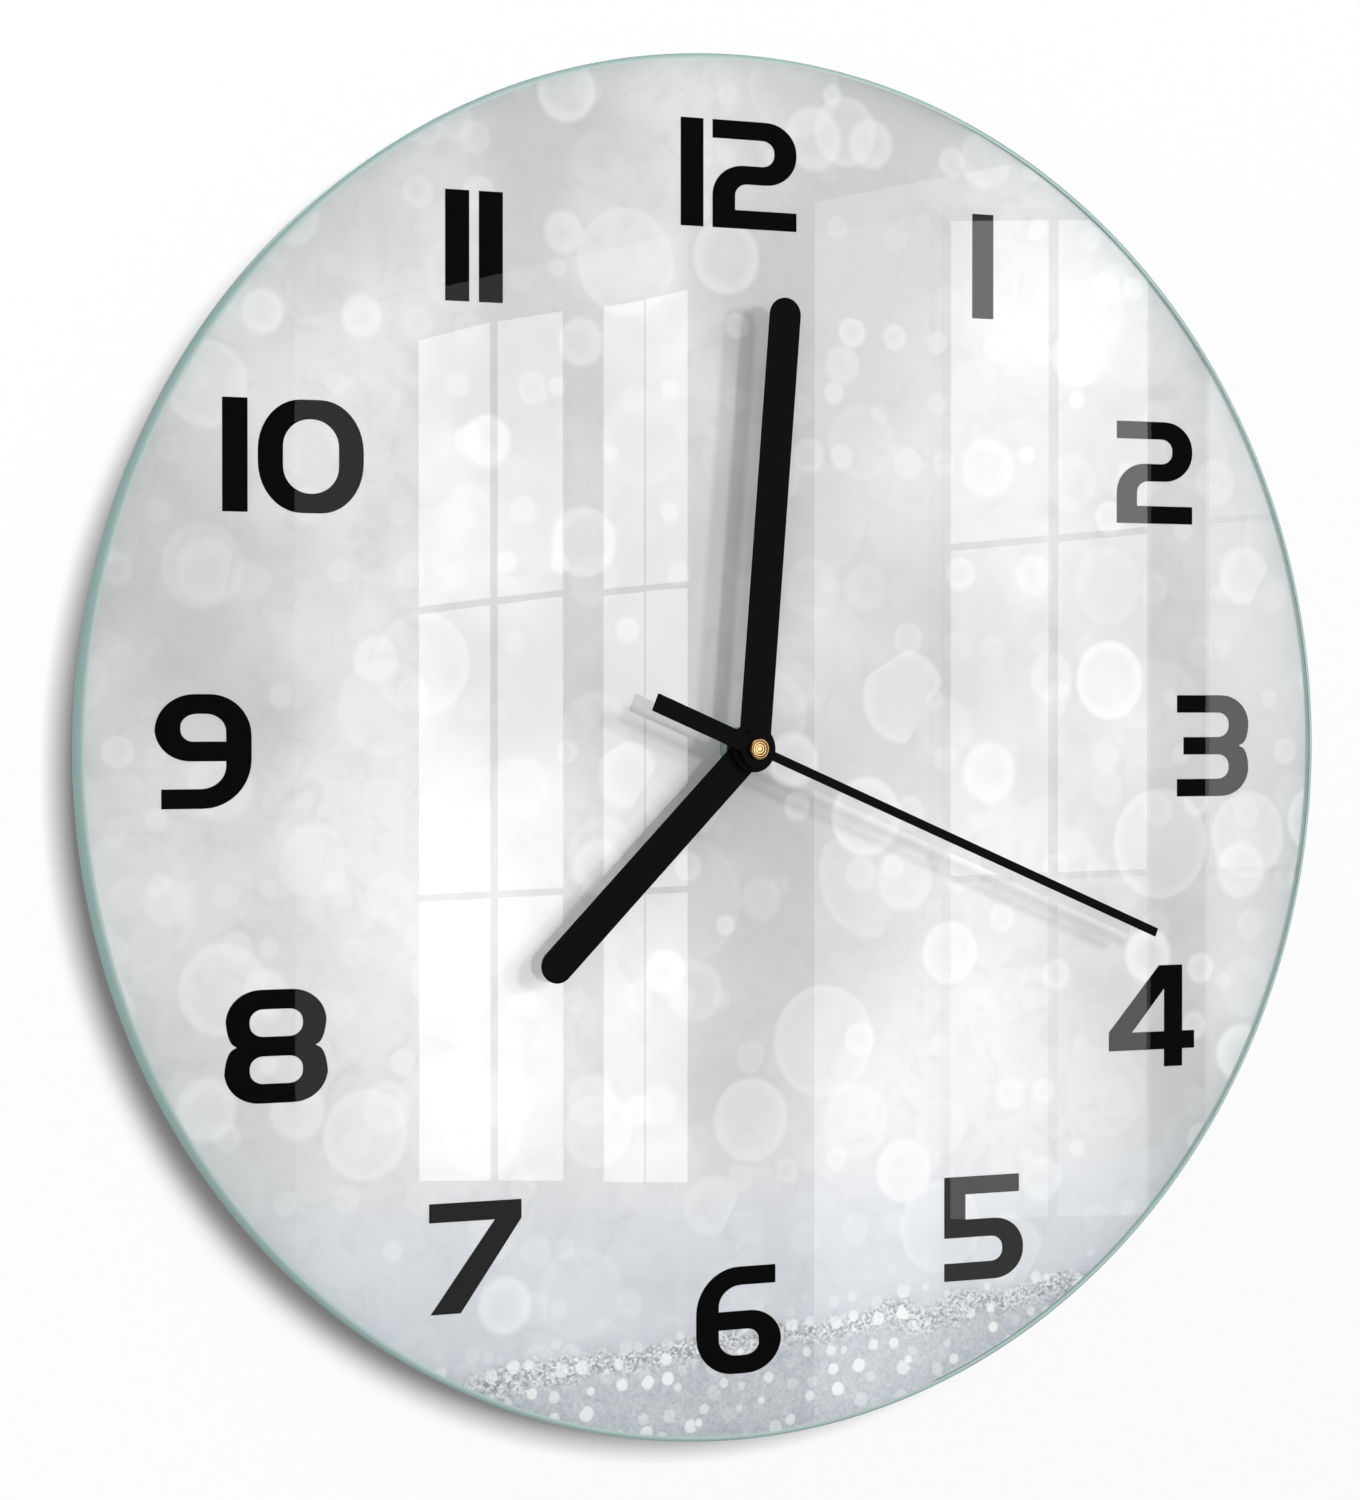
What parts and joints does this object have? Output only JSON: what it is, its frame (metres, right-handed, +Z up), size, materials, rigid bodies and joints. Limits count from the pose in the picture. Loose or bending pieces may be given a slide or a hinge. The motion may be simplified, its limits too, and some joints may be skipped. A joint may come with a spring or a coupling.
{
  "type": "glass wall clock",
  "caption": "Round glass wall clock: printed glass dial, three black hands and a geared battery quartz movement with hanger behind it.",
  "frame": {"origin": "the point of the wall plane behind the centre of the hands, on the back face of the movement's rear cover", "axes": "+X to the right and +Z up as the clock is seen, +Y into the wall, so the dial faces -Y"},
  "size_m": [0.3, 0.0295, 0.3],
  "materials": {
    "clear_glass": "clear tempered float glass, polished rounded edge with a green tint",
    "dial_print": "pale silver print on the back of the glass, seen through it",
    "black_aluminium": "stamped aluminium with a satin black coat",
    "black_nut": "blackened steel",
    "brass": "turned brass",
    "cap_brass": "turned, polished brass",
    "black_plastic": "moulded black ABS with a fine grain",
    "white_plastic": "moulded acetal",
    "steel": "nickel-plated steel",
    "electrical_steel": "punched electrical steel",
    "magnet": "sintered magnet",
    "copper": "enamelled copper wire",
    "rubber": "black rubber",
    "board": "green solder mask on glass-filled laminate",
    "resin": "black potting resin",
    "cell": "plain sleeved steel can"
  },
  "bodies": {
    "root": {"glass_dial": "clear_glass", "dial_print": "dial_print", "ring_nut": "black_nut", "threaded_bush": "brass", "rubber_washer": "rubber", "front_case": "black_plastic", "rear_cover": "black_plastic", "stator": "electrical_steel", "coil_core": "electrical_steel", "coil_bobbin": "white_plastic", "coil_winding": "copper", "motor_screw_left": "steel", "motor_screw_right": "steel", "circuit_board": "board", "board_screw": "steel", "chip_cover": "resin", "quartz_crystal": "steel", "dry_cell": "cell", "negative_contact": "steel", "positive_contact": "steel"},
    "hour_hand": {"hour_wheel": "white_plastic", "hour_hand": "black_aluminium", "hour_hand_bush": "brass"},
    "minute_hand": {"centre_wheel": "white_plastic", "cannon_pinion": "brass", "minute_hand": "black_aluminium", "minute_hand_bush": "brass"},
    "second_hand": {"second_wheel": "white_plastic", "second_arbor": "steel", "second_hand": "black_aluminium", "second_hand_cap": "cap_brass"},
    "third_wheel": {"third_wheel": "white_plastic"},
    "intermediate_wheel": {"intermediate_wheel": "white_plastic"},
    "rotor": {"rotor_pinion": "white_plastic", "rotor_magnet": "magnet"},
    "minute_work_wheel": {"minute_work_wheel": "white_plastic"},
    "setting_knob": {"setting_stem": "white_plastic", "setting_knob": "black_plastic"}
  },
  "joints": [
    {"name": "second_hand_turn", "type": "hinge", "parent": "root", "child": "second_hand", "pos_m": [0, 0, 0], "axis": [0, 1, 0], "continuous": true},
    {"name": "minute_hand_turn", "type": "hinge", "parent": "root", "child": "minute_hand", "pos_m": [0, 0, 0], "axis": [0, 1, 0], "continuous": true},
    {"name": "hour_hand_turn", "type": "hinge", "parent": "root", "child": "hour_hand", "pos_m": [0, 0, 0], "axis": [0, 1, 0], "continuous": true},
    {"name": "third_wheel_turn", "type": "hinge", "parent": "root", "child": "third_wheel", "pos_m": [-0.00833, 0, 0.00699], "axis": [0, 1, 0], "continuous": true},
    {"name": "intermediate_wheel_turn", "type": "hinge", "parent": "root", "child": "intermediate_wheel", "pos_m": [0.0071, 0, 0.00846], "axis": [0, 1, 0], "continuous": true},
    {"name": "rotor_turn", "type": "hinge", "parent": "root", "child": "rotor", "pos_m": [0.0142, 0, 0.01177], "axis": [0, 1, 0], "continuous": true},
    {"name": "minute_work_turn", "type": "hinge", "parent": "root", "child": "minute_work_wheel", "pos_m": [0.0096, 0, 0], "axis": [0, 1, 0], "continuous": true},
    {"name": "setting_knob_turn", "type": "hinge", "parent": "root", "child": "setting_knob", "pos_m": [0.01862, 0, -0.00328], "axis": [0, 1, 0], "continuous": true}
  ],
  "couplings": [
    {"joint": "third_wheel_turn", "follows": "second_hand_turn", "ratio": -0.13333},
    {"joint": "intermediate_wheel_turn", "follows": "second_hand_turn", "ratio": -5},
    {"joint": "rotor_turn", "follows": "second_hand_turn", "ratio": 30},
    {"joint": "minute_hand_turn", "follows": "second_hand_turn", "ratio": 0.016667},
    {"joint": "minute_work_turn", "follows": "second_hand_turn", "ratio": -0.0055556},
    {"joint": "hour_hand_turn", "follows": "second_hand_turn", "ratio": 0.0013889},
    {"joint": "setting_knob_turn", "follows": "second_hand_turn", "ratio": 0.016667}
  ]
}
